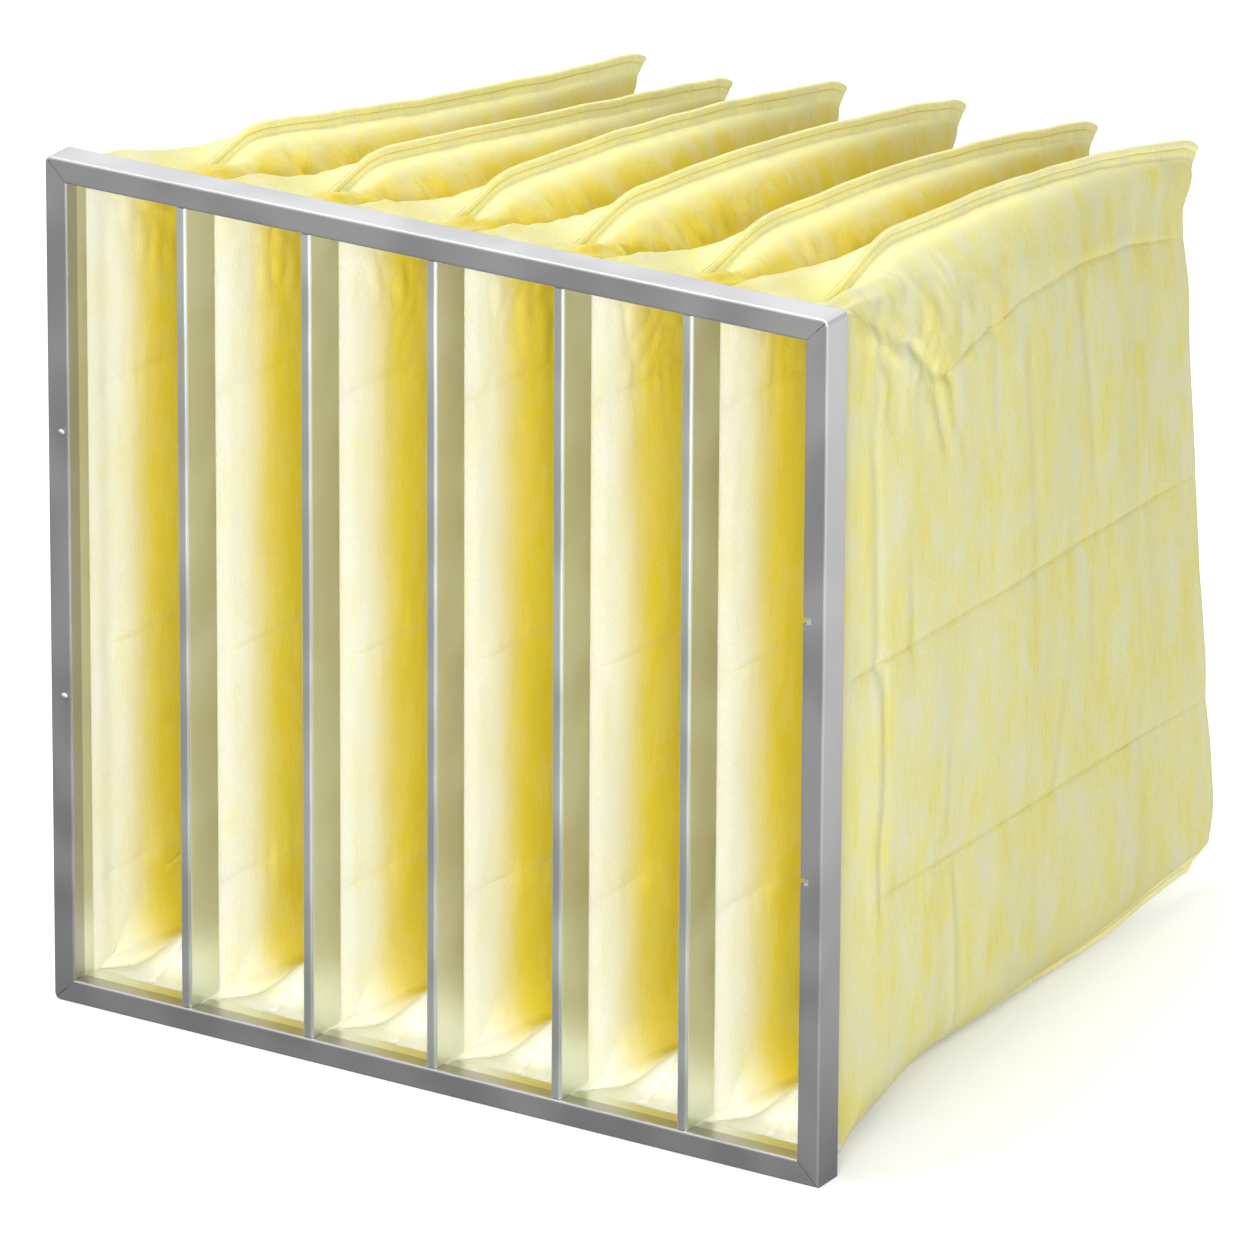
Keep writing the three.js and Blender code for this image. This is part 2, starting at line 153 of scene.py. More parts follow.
def noise_of(tree, vector, scale, detail=3.0, roughness=0.5):
    texture = node(tree, "ShaderNodeTexNoise")
    tree.links.new(vector, texture.inputs["Vector"])
    texture.inputs["Scale"].default_value = scale
    texture.inputs["Detail"].default_value = detail
    texture.inputs["Roughness"].default_value = roughness
    return texture.outputs["Fac"]


def remap(tree, value, low, high, to_low=0.0, to_high=1.0):
    made = node(tree, "ShaderNodeMapRange", interpolation_type="SMOOTHSTEP")
    tree.links.new(value, made.inputs["Value"])
    for socket, number in zip(("From Min", "From Max", "To Min", "To Max"), (low, high, to_low, to_high)):
        made.inputs[socket].default_value = number
    return made.outputs["Result"]


def math_of(tree, operation, a, b):
    made = node(tree, "ShaderNodeMath", operation=operation)
    feed(tree, made.inputs[0], a)
    feed(tree, made.inputs[1], b)
    return made.outputs[0]


def blend_of(tree, factor, a, b):
    made = node(tree, "ShaderNodeMix", data_type="RGBA")
    feed(tree, made.inputs["Factor"], factor)
    feed(tree, made.inputs["A"], a)
    feed(tree, made.inputs["B"], b)
    return made.outputs["Result"]


# %% [markdown]
# Glass-fibre fleece is mottled: whiter and yellower tufts, drawn out along the height of the pocket,
# over fine fibres.

# %% Fleece group
def make_fleece_group():
    tree, source, sink = new_group(
        "glass_fleece",
        [("Base", "NodeSocketColor", (0.80, 0.765, 0.36, 1)),
         ("Pale", "NodeSocketColor", (0.79, 0.775, 0.53, 1)),
         ("Yellow", "NodeSocketColor", (0.81, 0.735, 0.22, 1))],
        [("Color", "NodeSocketColor"), ("Height", "NodeSocketFloat"), ("Paleness", "NodeSocketFloat")],
    )
    patches = noise_of(tree, mapped(tree, (1.0, 1.0, 0.42)), 44.0, 4.0, 0.6)
    streaks = noise_of(tree, mapped(tree, (1.0, 1.0, 0.12)), 420.0, 2.0, 0.6)
    fibres = noise_of(tree, mapped(tree, (1.0, 1.0, 0.5)), 900.0, 1.0, 0.5)
    broad = math_of(tree, "MULTIPLY", patches, 0.66)
    tone = math_of(tree, "ADD", broad, math_of(tree, "MULTIPLY", streaks, 0.34))
    colour = blend_of(tree, remap(tree, tone, 0.47, 0.66), source.outputs["Base"], source.outputs["Pale"])
    colour = blend_of(tree, remap(tree, tone, 0.51, 0.34), colour, source.outputs["Yellow"])
    tint = node(tree, "ShaderNodeVectorMath", operation="SCALE")
    tree.links.new(colour, tint.inputs[0])
    tree.links.new(remap(tree, fibres, 0.25, 0.75, 0.975, 1.02), tint.inputs["Scale"])
    tree.links.new(tint.outputs[0], sink.inputs["Color"])
    tree.links.new(fibres, sink.inputs["Height"])
    tree.links.new(remap(tree, tone, 0.42, 0.6), sink.inputs["Paleness"])
    return tree


# %% [markdown]
# Galvanised steel is never one even grey: the zinc leaves a broad faint cloudiness that also changes how
# rough it looks, and the rolled strip has a fine grain.

# %% Steel group
def make_steel_group():
    tree, source, sink = new_group(
        "galvanised_steel",
        [("Base", "NodeSocketColor", (0.6, 0.6, 0.61, 1)),
         ("Roughness", "NodeSocketFloat", 0.36)],
        [("Color", "NodeSocketColor"), ("Height", "NodeSocketFloat"), ("Roughness", "NodeSocketFloat")],
    )
    clouds = noise_of(tree, mapped(tree, (1, 1, 1)), 16.0, 1.0, 0.5)
    grain = noise_of(tree, mapped(tree, (1, 1, 1)), 900.0, 1.0, 0.5)
    tint = node(tree, "ShaderNodeVectorMath", operation="SCALE")
    tree.links.new(source.outputs["Base"], tint.inputs[0])
    tree.links.new(remap(tree, clouds, 0.3, 0.7, 0.95, 1.04), tint.inputs["Scale"])
    rough = math_of(tree, "ADD", source.outputs["Roughness"], remap(tree, clouds, 0.3, 0.7, -0.04, 0.05))
    tree.links.new(tint.outputs[0], sink.inputs["Color"])
    tree.links.new(grain, sink.inputs["Height"])
    tree.links.new(rough, sink.inputs["Roughness"])
    return tree


# %% [markdown]
# A material is one Principled shader with a group in front of it. Steel is metal; fleece is rough and dull,
# and takes painted shade and painted highlight where the sheet's points carry a mask, stronger on its yellow
# tufts than on its pale ones. The masks are worked out together with the sheet's shape, so the painted light
# follows the piece.

# %% Material makers
def surface_material(name, group, bump_distance, bump_strength, **values):
    material = bpy.data.materials.new(name)
    material.use_nodes = True
    tree = material.node_tree
    shader = tree.nodes["Principled BSDF"]
    look = node(tree, "ShaderNodeGroup", node_tree=group)
    for socket, value in values.items():
        look.inputs[socket].default_value = value
    bump = node(tree, "ShaderNodeBump")
    bump.inputs["Distance"].default_value = bump_distance
    bump.inputs["Strength"].default_value = bump_strength
    tree.links.new(look.outputs["Height"], bump.inputs["Height"])
    tree.links.new(look.outputs["Color"], shader.inputs["Base Color"])
    tree.links.new(bump.outputs["Normal"], shader.inputs["Normal"])
    return material, shader, look


def steel_material(name, bump_strength, **values):
    material, shader, look = surface_material(name, steel, 0.0002, bump_strength, **values)
    material.node_tree.links.new(look.outputs["Roughness"], shader.inputs["Roughness"])
    shader.inputs["Metallic"].default_value = 1.0
    return material


def fleece_material(name, bump_distance, **values):
    material, shader, look = surface_material(name, fleece, bump_distance, 0.4, **values)
    shader.inputs["Roughness"].default_value = 0.9
    shader.inputs["Specular IOR Level"].default_value = 0.25
    return material, shader, look


def with_painted_light(fleece_parts, least_cover, painted_tints):
    material, shader, look = fleece_parts
    tree = material.node_tree
    colour = look.outputs["Color"]
    cover = remap(tree, look.outputs["Paleness"], 0.0, 1.0, 1.0, least_cover)
    # Each mask blends in a painted shade or painted highlight colour, less of it on the pale tufts.
    for attribute, low, high, share, tint in painted_tints:
        mask = node(tree, "ShaderNodeAttribute", attribute_name=attribute)
        amount = math_of(tree, "MULTIPLY", remap(tree, mask.outputs["Fac"], low, high, 0.0, share), cover)
        colour = blend_of(tree, amount, colour, tint)
    tree.links.new(colour, shader.inputs["Base Color"])
    return material


fleece = make_fleece_group()
steel = make_steel_group()
print("groups", fleece.name, steel.name)

# %% [markdown]
# The media's two faces are two materials. The inner one is a paler, whiter copy of the fleece, painted light
# for the brightly lit mouths. The masks deep and between paint shade, saturated yellow as though light came
# only through the yellow walls, in the depth of each pocket and in the gaps between pockets. The sewn lips
# are pressed flat, and the mask edge paints a highlight on them; the mask stitched paints shade along the
# stitched lines.

# %% Materials
header_steel = steel_material("header_steel", 0.25, Base=(0.58, 0.58, 0.585, 1), Roughness=0.42)
strip_steel = steel_material("strip_steel", 0.2, Base=(0.89, 0.93, 0.88, 1), Roughness=0.38)
rivet_steel = steel_material("rivet_steel", 0.15, Base=(0.85, 0.85, 0.86, 1), Roughness=0.25)
media = with_painted_light(
    fleece_material("filter_media", 0.0006),
    0.62,
    [
        # between: painted shade, saturated yellow, where the walls face a neighbouring pocket.
        ("between", 0.0, 1.0, 0.95, (0.84, 0.66, 0.05, 1)),
        # edge: painted highlight on the sewn lips and the top shoulders.
        ("edge", 0.0, 1.0, 0.8, (1.0, 0.96, 0.50, 1)),
        # stitched: painted shade in the grooves of the stitched lines.
        ("stitched", 0.1, 1.0, 0.42, (0.76, 0.61, 0.10, 1)),
    ],
)
media_inside = with_painted_light(
    fleece_material(
        "filter_media_inside", 0.0006,
        # A paler, whiter fleece than the outer face: painted light for the brightly lit mouths.
        Base=(0.93, 0.925, 0.78, 1), Pale=(0.94, 0.935, 0.86, 1), Yellow=(0.93, 0.90, 0.64, 1),
    ),
    0.93,
    [
        # deep: painted shade in the depth of each pocket, saturated yellow as light there comes only through
        # the walls.
        ("deep", 0.0, 1.0, 1.0, (0.79, 0.635, 0.045, 1)),
        # stitched: painted shade along the stitched lines inside.
        ("stitched", 0.1, 1.0, 0.3, (0.70, 0.60, 0.20, 1)),
    ],
)
thread = fleece_material(
    "stitching", 0.0004,
    Base=(0.76, 0.66, 0.20, 1), Pale=(0.80, 0.74, 0.36, 1), Yellow=(0.72, 0.58, 0.12, 1),
)[0]
by_slot = {
    "header_steel": header_steel,
    "strip_steel": strip_steel,
    "rivet_steel": rivet_steel,
    "filter_media": media,
    "stitching": thread,
}
slot_of = {part["node"]: part["material_slot"] for part in frame["record"]["subparts"]}
for name, piece in frame["nodes"].items():
    piece.data.materials.clear()
    piece.data.materials.append(by_slot[slot_of[name]])
print("materials given to", len(slot_of), "CAD nodes")

# %% [markdown]
# ## The shape of a pocket
# A pocket is one strip of fleece folded in half at the back and sewn shut along its top and bottom, so it
# is wide at the mouth and closes to a wedge. The drawing is the CAD part's: how wide, how high and how far
# back the media lies at each depth behind the header, in millimetres. Depth 0 is the header's front face and
# height 0 the ground. The seams rise and sink because a filled pocket pulls its sewn edges.

# %% Pocket drawing
HALF = 296.0  # half of the square header
LENGTH = 600.0  # to the ends of the pocket seams
HEM_OUTER = 287.7  # half of the space that the hems fill
HEM = 5.6  # media against the clamp ring
LAYER = 2.55  # media squeezed in a separator
MEDIA = 4.0  # free media
LIP_HALF = 1.6
LIP_HEIGHT = 10.0
CLAMP_END = 35.0  # rear edge of the separators
LIP_FULL = 100.0  # where the sewn lip has its full height
PITCH = 95.9  # from one separator to the next
FOLD_RADIUS = 3.6
TAPER_POWER = 1.45
GABLE_PEAK = 82.0  # where the cheeks beside a seam stand highest
GABLE_END = 178.0
SEAM_DIP = 18.0  # how far the seam sinks between its cheeks
CHEEK_RISE = 25.0
SHOULDER = 60.0  # height over which a wall closes to its seam
OUTER_SIDES = ((0, -1), (5, 1))  # the walls that face outwards, as pocket and side
# Each seam's height at three depths, pocket by pocket from the left.
CREST_DEPTHS = (150.0, 390.0, LENGTH)
CREST = [
    (582, 538, 512), (581, 541, 506), (581, 556, 519), (586, 561, 524), (583, 563, 527), (593, 570, 527),
]
# How far a pocket's back leans sideways, at its top and at its bottom.
TOP_LEAN = [32, 5, 0, -2, 5, -14]
BOTTOM_LEAN = [0, 0, 0, 0, 0, 8]
# How far the back edge falls short of the full length, from the bottom to the top.
BACK_EDGE = [(0, 34), (0.03, 6), (0.08, 0), (0.25, 7), (0.5, 14), (0.8, 20), (0.92, 27), (0.97, 12), (1, 0)]
# The three stitched rows: heights at the mouth, where each starts, and the upper row of the outer right
# wall, which starts high at the crumple.
ROWS = (170, 333, 515)
LEFT_ROW_DROP = 14.0
ROW_STARTS = (84, 38, 168)
ROW_MARGIN = 9  # kept between a row and the shoulders
RAISED_ROW = [(35, 500), (190, 500), (212, 504), (248, 508), (297, 512), (386, 506), (497, 490), (600, 466)]


def mouth_of(pocket):
    left = -HEM_OUTER if pocket == 0 else (pocket - 3) * PITCH + 0.15
    right = HEM_OUTER if pocket == 5 else (pocket - 2) * PITCH - 0.15
    return (left + right) / 2, (right - left) / 2


def crest_height(pocket, depth):
    a, b, c = CREST_DEPTHS
    at = max(depth, a)
    front, middle, rear = CREST[pocket]
    crest = front * (at - b) * (at - c) / ((a - b) * (a - c))
    crest += middle * (at - a) * (at - c) / ((b - a) * (b - c))
    crest += rear * (at - a) * (at - b) / ((c - a) * (c - b))
    crest = lerp(HALF + HEM_OUTER, crest, ramp(depth, CLAMP_END, a))
    return crest - 5.0 * straight(depth, 580, 600) ** 2


def keel_level(depth):
    resting = lerp(HALF - HEM_OUTER, 3.0, ramp(depth, CLAMP_END, 150))
    return resting + 12.0 * ramp(depth, 420, LENGTH)


def half_width(mouth_half, depth):
    share = clamp((depth - CLAMP_END) / (LENGTH - CLAMP_END))
    taper = mouth_half * (1 - share ** TAPER_POWER)
    if depth <= 500:
        return max(taper, FOLD_RADIUS)
    fold = clamp((depth - (LENGTH - FOLD_RADIUS)) / FOLD_RADIUS)
    return math.hypot(taper, FOLD_RADIUS) * math.sqrt(max(1 - fold * fold, 0))


def released_at(depth):
    return ramp(depth, CLAMP_END, LIP_FULL)


def gable_at(depth):
    return hump(depth, CLAMP_END, GABLE_PEAK, GABLE_END)


def row_heights(pocket, side, depth, low, high):
    fall = 38.0 * (depth / LENGTH) ** 1.3
    drop = LEFT_ROW_DROP * (1 - depth / LENGTH) if side < 0 else 0
    levels = [level - 16.0 * (5 - pocket) - fall - drop for level in ROWS]
    if (pocket, side) == (5, 1):
        levels[2] = along_table(RAISED_ROW, depth, straight)
    return [clamp(level, low + ROW_MARGIN, high - ROW_MARGIN) for level in levels]


for pocket in range(6):
    middle, half = mouth_of(pocket)
    print("pocket", pocket + 1, "mouth", round(2 * half, 1), "mm wide, centre at", round(middle, 1))


# %% [markdown]
# One side of a cross-section runs from the lower seam's edge to the upper seam's edge: a sewn lip with a
# pressed-in line of stitches, a quarter turn round the shoulder, and a wall that three stitched rows divide
# into four quilted bands. The grid is finest beside the stitches, because the media turns sharply there
# and lies nearly flat elsewhere.

# %% Cross-section
ARCH_STEPS = 18
LIP_SHARES = (0.0, 0.22, 0.4, 0.48, 0.56, 0.68, 0.84, 0.95, 1.0)
LIP_WIDTHS = (1.0, 0.98, 0.8, 0.55, 0.8, 1.05, 1.05, 0.85, 0.4)
STITCH_SHARE = LIP_SHARES[3]
BAND_SHARES = [0.0, 0.007, 0.022] + [0.055 + 0.89 * k / 16 for k in range(17)] + [0.978, 0.993]
STATIONS = (
    [("low_lip", k) for k in reversed(range(1, len(LIP_SHARES)))]
    + [("low_arch", k / ARCH_STEPS) for k in range(ARCH_STEPS)]
    + [("wall", (band, share)) for band in range(4) for share in BAND_SHARES]
    + [("high_arch", 1 - k / ARCH_STEPS) for k in range(ARCH_STEPS)]
    + [("high_lip", k) for k in range(len(LIP_SHARES))]
)
print("points from seam to seam:", len(STATIONS))


def cross_section(pocket, side, depth):
    x = half_width(mouth_of(pocket)[1], depth)
    released = released_at(depth)
    edge = min(LIP_HALF * released, x)
    lip = LIP_HEIGHT * released
    gable = gable_at(depth)
    dip = SEAM_DIP * gable
    rise = CHEEK_RISE * gable
    shoulder = SHOULDER * ramp(depth, CLAMP_END, GABLE_END) * (1 - ramp(depth, 450, LENGTH) / 2)
    shoulder *= 0.75 if (pocket, side) == (5, 1) else 1
    top = crest_height(pocket, depth) - lip - dip
    bottom = keel_level(depth) + lip + dip
    low, high = bottom + shoulder, top - shoulder
    rows = row_heights(pocket, side, depth, low, high)
    bounds = [low] + rows + [high]
    pinch = min(2.0, 0.15 * x)
    strength = [ramp(depth, start, start + 30) for start in ROW_STARTS]

    def groove(z):
        return sum(
            held * (0.6 * math.exp(-abs(z - row) / 1.8) + 0.9 * math.exp(-abs(z - row) / 9.0))
            for held, row in zip(strength, rows)
        )

    points = []
    for part, where in STATIONS:
        if part.endswith("lip"):
            out = edge * LIP_WIDTHS[where]
            away = lip * LIP_SHARES[where]
            points.append((out, bottom - away) if part == "low_lip" else (out, top + away))
        elif part.endswith("arch"):
            angle = where * math.pi / 2
            out = lerp(edge, x, math.sin(angle))
            away = shoulder * (1 - math.cos(angle)) - rise * math.sin(2 * angle)
            z = bottom + away if part == "low_arch" else top - away
            points.append((out - pinch * groove(z) * ramp(where, 0.4, 1), z))
        else:
            band, share = where
            z = lerp(bounds[band], bounds[band + 1], share)
            puff = 0.4 * math.sin(math.pi * share) * released if 0 < band < 3 else 0
            points.append((x - pinch * (groove(z) - puff), z))
    return points, rows


def placed(pocket, x, z, depth):
    low = keel_level(depth)
    share = clamp((z - low) / (crest_height(pocket, depth) - low))
    lean = lerp(BOTTOM_LEAN[pocket], TOP_LEAN[pocket], share)
    back = ramp(depth, 60, LENGTH) * (depth / LENGTH)
    recess = along_table(BACK_EDGE, share, ramp) * ramp(depth, 360, LENGTH)
    return Vector((mouth_of(pocket)[0] + x + lean * back, depth - recess + HEADER_FRONT_Y / MM, z))


def seam_wave(pocket, depth, upper):
    seed = Vector((pocket * 5.1, 9.0 if upper else 2.0, depth / 47))
    free = ramp(depth, 60, 140)
    return 1.8 * noise.noise(seed) * free, 0.9 * noise.noise(seed * 1.3) * free


# %% [markdown]
# ## Creases
# Fleece that is pulled to a seam or a stitched row doesn't stretch, it folds. Each crease is a line of
# (depth, height) points pressed into one wall, with how deep and how wide it is, and a soft fold that stands
# up on one side of it. The large ones are listed one by one; noise adds the small unevenness between them.

# %% Creases
CREASES = {
    (5, 1): [
        ([(36, 576), (80, 562), (130, 533), (158, 507), (181, 497)], 2.6, 4.5),
        ([(181, 497), (212, 504), (248, 508)], 2.2, 4.5),
        ([(158, 507), (166, 474), (176, 455)], 2.0, 4.5),
        ([(130, 533), (150, 500), (166, 474)], 1.8, 5.5),
        ([(180, 496), (188, 470), (206, 440)], 1.2, 5.5),
        ([(248, 508), (250, 470), (254, 430)], 1.0, 5.0),
        ([(297, 512), (305, 440), (314, 368), (321, 310)], 1.1, 5.0),
        ([(390, 501), (398, 458), (410, 411), (416, 350)], 1.2, 5.5),
        ([(94, 319), (95, 247), (90, 198), (93, 160)], 2.0, 5.0),
        ([(198, 147), (204, 105), (209, 38)], 1.5, 4.0),
        ([(192, 239), (186, 190)], 1.0, 5.0),
        ([(130, 373), (136, 325)], 1.2, 5.0),
        ([(374, 228), (360, 194), (352, 150)], 1.2, 5.0),
        ([(410, 278), (415, 214)], 1.0, 5.0),
        ([(79, 470), (84, 378), (86, 325)], 1.6, 6.0),
        ([(36, 592), (60, 575), (84, 561)], 2.0, 4.0),
        ([(96, 556), (128, 566), (170, 562)], 1.4, 6.0),
        ([(330, 420), (352, 460), (368, 494)], 1.1, 5.0),
        ([(300, 540), (360, 532), (430, 516), (490, 508)], 1.0, 5.0),
    ],
}
for pocket in range(5):
    shift = 9 * pocket
    CREASES[(pocket, 1)] = [
        ([(60, 560), (92, 545), (118, 522 + shift / 3)], 4.5, 4.5),
        ([(74, 583), (104, 572), (140, 540)], 4.0, 5.0),
        ([(118, 566), (132, 548), (138, 500)], 3.6, 5.0),
        ([(170 + shift, 556), (186 + shift, 520), (178 + shift, 474)], 3.2, 5.5),
        ([(250 - shift, 548), (262 - shift, 512), (286 - shift, 480)], 3.0, 5.5),
        ([(330 + shift, 532), (338 + shift, 490), (334 + shift, 440)], 2.6, 5.5),
        ([(430 - shift, 512), (440 - shift, 470)], 2.2, 5.5),
        ([(210 + shift, 540), (262 + shift, 530), (318 + shift, 500)], 2.6, 5.5),
    ]
CREASES[(0, -1)] = [
    ([(300, 500), (306, 430), (300, 340)], 1.5, 5.0),
    ([(150, 520), (158, 440), (152, 330)], 1.5, 5.0),
    ([(220, 220), (214, 150), (218, 60)], 1.5, 5.0),
    ([(410, 440), (418, 330)], 1.3, 5.0),
    ([(70, 560), (110, 530), (160, 500)], 1.8, 5.0),
]
print("creases:", sum(len(lines) for lines in CREASES.values()))


def pressed(lines, depth, z):
    total = 0
    for points, deep, wide in lines:
        best = (1e9, 0)
        for (depth_a, z_a), (depth_b, z_b) in zip(points, points[1:]):
            run, climb = depth_b - depth_a, z_b - z_a
            long = math.hypot(run, climb)
            share = clamp(((depth - depth_a) * run + (z - z_a) * climb) / (long * long))
            gap = math.hypot(depth - depth_a - share * run, z - z_a - share * climb)
            across = ((depth - depth_a) * climb - (z - z_a) * run) / long
            best = min(best, (gap, across))
        gap, across = best
        if gap < 8 * wide:
            beyond = 2 * max(gap - abs(across), 0) / wide
            signed = math.copysign(gap, across)
            total -= 0.8 * deep * math.exp(-gap / wide)
            total += 0.4 * deep * math.exp(-(((signed - 2 * wide) / (1.3 * wide)) ** 2) - beyond)
    return total


def floor_corner(depth):
    return math.asin(clamp(1 - (depth - 20) * 0.0092, 0, 1)) / (math.pi / 2)


def floor_crease(part, where, depth):
    if part != "low_arch" or not 26 < depth < 128:
        return 0
    corner = floor_corner(depth)
    ridge = 5.0 * math.exp(-abs(where - corner) / 0.07)
    hollow = 3.0 * math.exp(-(((where - corner - 0.2) / 0.12) ** 2))
    return hump(depth, 26, 48, 128) * (ridge - hollow)


def crease(pocket, side, part, where, depth, z, place, rows):
    if part.endswith("lip"):
        return 0
    rise = ramp(where, 0.05, 0.5) if part.endswith("arch") else 1
    free = ramp(depth, 38, 90) * rise
    seed = Vector((pocket * 7.3, side * 3.1, 0))
    soft = noise.noise(Vector((place.x / 90, place.y / 70, place.z / 210)) + seed)
    small = noise.noise(place / 30 + seed * 2)
    amount = free * (1.8 * soft + 0.5 * small)
    near_top = ramp(z, 430, 520) * (1 - ramp(depth, 150, 420)) * (1 if side > 0 else 0.45)
    crumple = 1 - 2 * abs(noise.noise(Vector((place.x / 19, place.y / 17, place.z / 24)) + seed * 3))
    amount += free * near_top * (1.3 if pocket == 5 else 3.0) * (crumple - 0.5)
    if part == "high_arch":
        gather = hump(depth, 36, 56, 130) * hump(where, 0.08, 0.4, 0.95)
        amount += gather * (2.4 if side > 0 else 0.8) * math.sin(where * 24 + 3 * soft + pocket)
    gap = min(abs(z - row) for row in rows)
    pucker = noise.noise(Vector((depth / 7, pocket * 3.0 + side, round(z / 100)))) * math.exp(-gap / 9)
    near_wall = ramp(where, 0.4, 1) if part.endswith("arch") else 1
    amount += free * near_wall * pucker * (1 - math.exp(-gap / 1.5))
    amount += ramp(depth, 36, 60) * pressed(CREASES.get((pocket, side), ()), depth, z)
    amount += floor_crease(part, where, depth)
    mouth_half = mouth_of(pocket)[1]
    outer = (pocket, side) in OUTER_SIDES
    room = 5.0 if outer else 0.8 * (mouth_half - half_width(mouth_half, depth))
    return min(amount, max(room, 0)) if part == "wall" or where > 0.8 else min(amount, 6.0)


# %% [markdown]
# ## The pockets
# Each pocket is one flat rectangle of media: a grid whose columns run from the left mouth edge to the back
# fold and on to the right mouth edge, and whose rows run from seam to seam. Every point of the flat grid is
# carried to its place on the drawing, then pushed in or out a little by the creases. Solidify gives the
# thickness towards the inside, less of it where the media is clamped or stitched.

# %% Pocket sheets
def steps_between(start, end, step):
    count = max(1, round((end - start) / step))
    return [lerp(start, end, k / count) for k in range(count)]


FOLD_STEPS = 5
DEPTHS = (
    [6.0, 15.0, 24.8, 30.0]
    + steps_between(35, 200, 3.3)
    + steps_between(200, 576, 6.0)
    + steps_between(576, 596.4, 3.4)
    + [596.4 + FOLD_RADIUS * math.sin(k / FOLD_STEPS * math.pi / 2) for k in range(FOLD_STEPS)]
)
COLUMNS = [(-1, depth) for depth in DEPTHS] + [(1, LENGTH)] + [(1, depth) for depth in reversed(DEPTHS)]


def thickness_of(pocket, side, part, where, depth, z, rows):
    free = ramp(depth, CLAMP_END, CLAMP_END + 20)
    sewn = 0.92 * LIP_HALF
    if part.endswith("lip"):
        return lerp(HEM, sewn * LIP_WIDTHS[where], free)
    room = 0.8 * half_width(mouth_of(pocket)[1], depth)
    if part.endswith("arch"):
        return lerp(HEM, lerp(sewn, min(MEDIA, max(room, sewn)), ramp(where, 0, 0.2)), free)
    wall = HEM if (pocket, side) in OUTER_SIDES else LAYER
    pressed_share = 1 - 0.5 * math.exp(-min(abs(z - row) for row in rows) / 5)
    return lerp(wall, min(MEDIA, room) * pressed_share, free)


def painted_light_at(pocket, side, part, where, depth, z, rows):
    # deep is painted shade in the depth of a pocket; it starts nearer the mouth on the left walls than on
    # the right ones.
    start = 46 if side < 0 else 170
    deep = ramp(depth, start, start + 74)
    # The floor panel at the mouth stays pale, and the painted shade starts just above its crease.
    if part == "low_arch" and depth < 130:
        corner = floor_corner(depth)
        deep *= ramp(where, corner, corner + 0.12)
    if part.endswith("lip"):
        # On a lip, stitched paints a shade line along the stitches, and edge paints a highlight over the
        # whole lip.
        return deep, 0, math.exp(-abs(LIP_SHARES[where] - STITCH_SHARE) * LIP_HEIGHT / 0.8), 1
    # edge is a painted highlight on the upper shoulder beside the seam.
    edge = 1 - ramp(where, 0, 0.45) if part == "high_arch" else 0
    # between is painted shade on the walls that face a neighbouring pocket, weaker towards the back.
    facing = 0.0 if (pocket, side) in OUTER_SIDES else 1.0
    between = facing * (ramp(where, -0.1, 0.7 if side > 0 else 1.6) if part.endswith("arch") else 1.0)
    between *= 1 - 0.45 * ramp(depth, 330, LENGTH)
    line = 0.0
    # stitched is painted shade along the stitched rows.
    if part == "wall":
        held = [ramp(depth, begin, begin + 30) for begin in ROW_STARTS]
        line = max(share * math.exp(-abs(z - row) / 1.3) for share, row in zip(held, rows))
    return deep, between, line, edge


def seam_pull(part, where):
    if part.endswith("lip"):
        return 1.0
    return 1 - ramp(where, 0, 0.8) if part.endswith("arch") else 0.0


PAINTED_LIGHT_MASKS = ("deep", "between", "stitched", "edge")


